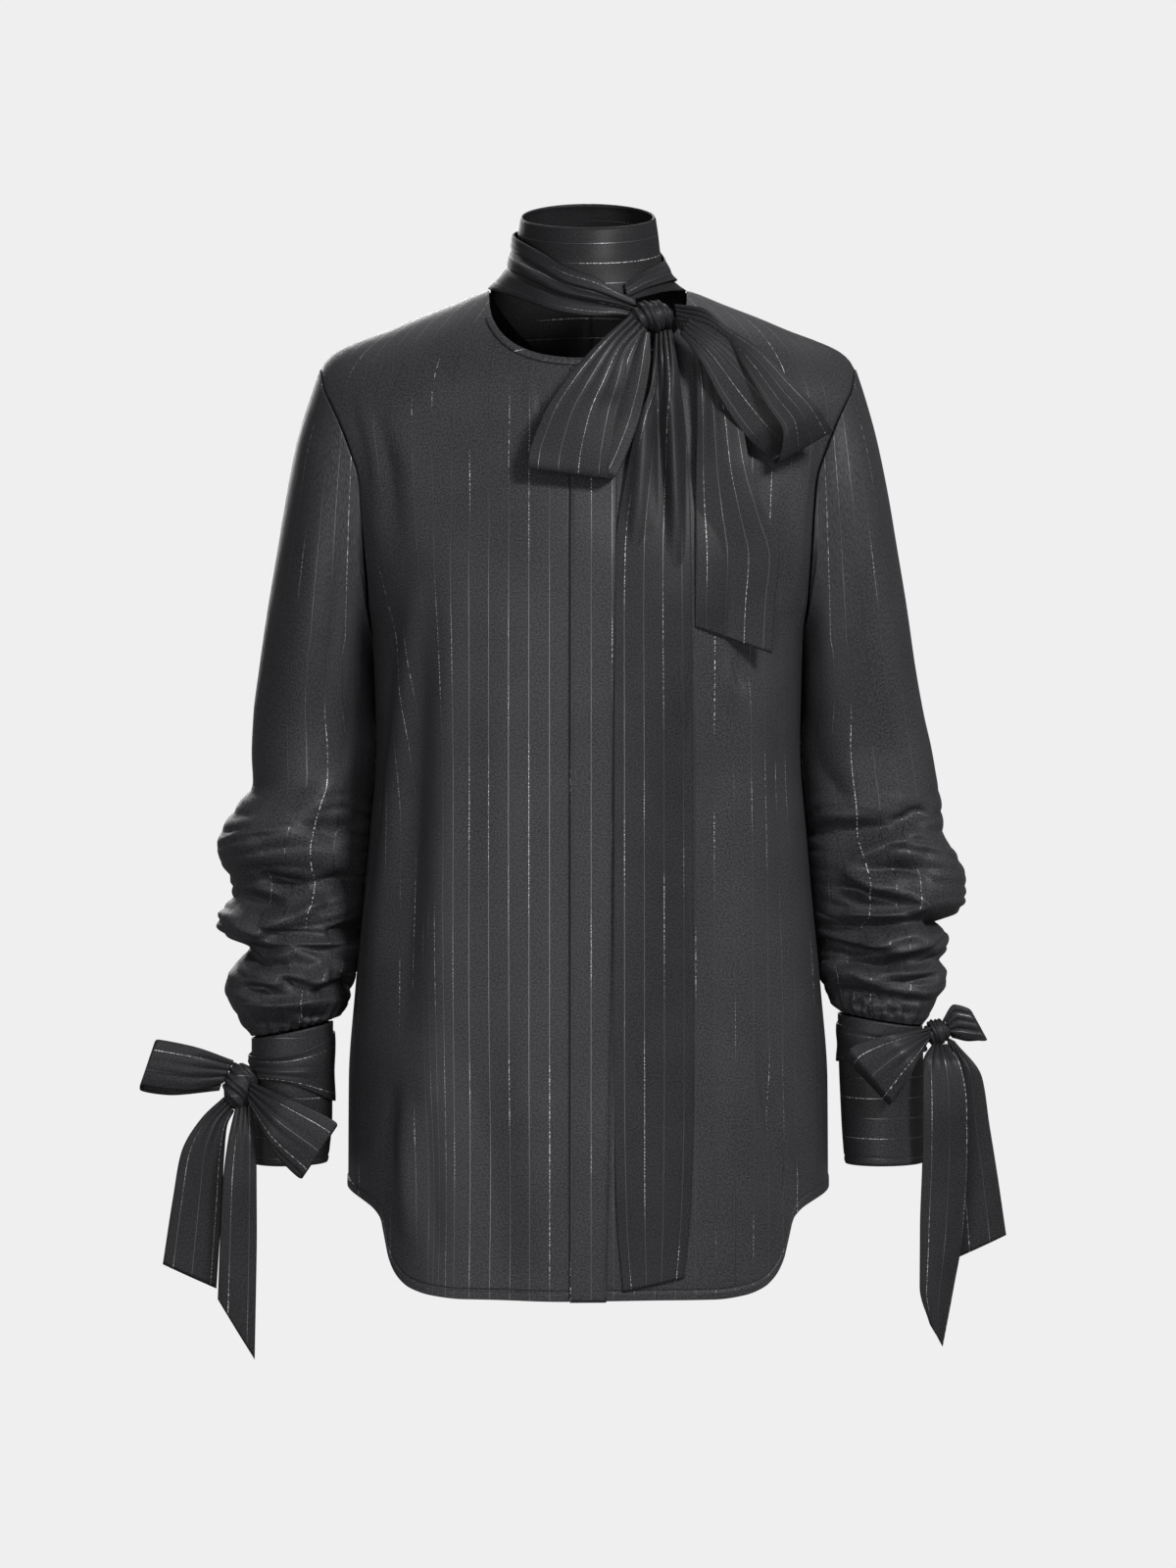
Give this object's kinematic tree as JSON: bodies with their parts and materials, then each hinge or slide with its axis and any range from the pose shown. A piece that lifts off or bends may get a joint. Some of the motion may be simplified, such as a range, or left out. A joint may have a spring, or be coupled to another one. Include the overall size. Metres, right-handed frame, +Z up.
{
  "type": "long-sleeve tie-neck shirt",
  "caption": "Long-sleeve satin shirt with a tied high collar, concealed placket, curved shirt-tail hem and tied cuffs, hollow as on an absent wearer.",
  "frame": {"origin": "middle of the base of the neck, between the two neck points", "axes": "+Z up the wearer, -Y out of the wearer's chest, +X to the wearer's left"},
  "size_m": [0.659, 0.25, 0.885],
  "materials": {
    "body_satin": "black satin with fine vertical metallic pinstripes",
    "placket_satin": "black satin with fine vertical metallic pinstripes",
    "sleeve_satin": "black satin with fine metallic pinstripes along the arm",
    "cuff_satin": "black satin with fine metallic pinstripes round the wrist",
    "collar_satin": "black satin with fine metallic pinstripes round the neck",
    "binding_satin": "plain black satin cut on the bias",
    "tie_satin": "black satin with fine metallic pinstripes along the tie"
  },
  "bodies": {
    "root": {"back": "body_satin", "front_right": "body_satin", "front_left": "body_satin", "placket": "placket_satin", "neck_binding_right": "binding_satin", "neck_binding_left": "binding_satin", "sleeve_right": "sleeve_satin", "sleeve_left": "sleeve_satin", "cuff_right": "cuff_satin", "cuff_left": "cuff_satin", "collar_band": "collar_satin", "tie_wrap": "tie_satin", "tie_knot": "tie_satin", "tie_loop_right": "tie_satin", "tie_loop_left": "tie_satin", "tie_tail_long": "tie_satin", "tie_tail_short": "tie_satin", "cuff_wrap_right": "tie_satin", "cuff_knot_right": "tie_satin", "cuff_loop_outer_right": "tie_satin", "cuff_loop_inner_right": "tie_satin", "cuff_tail_short_right": "tie_satin", "cuff_tail_long_right": "tie_satin", "cuff_wrap_left": "tie_satin", "cuff_knot_left": "tie_satin", "cuff_loop_outer_left": "tie_satin", "cuff_loop_inner_left": "tie_satin", "cuff_tail_long_left": "tie_satin", "cuff_tail_short_left": "tie_satin"}
  },
  "joints": []
}
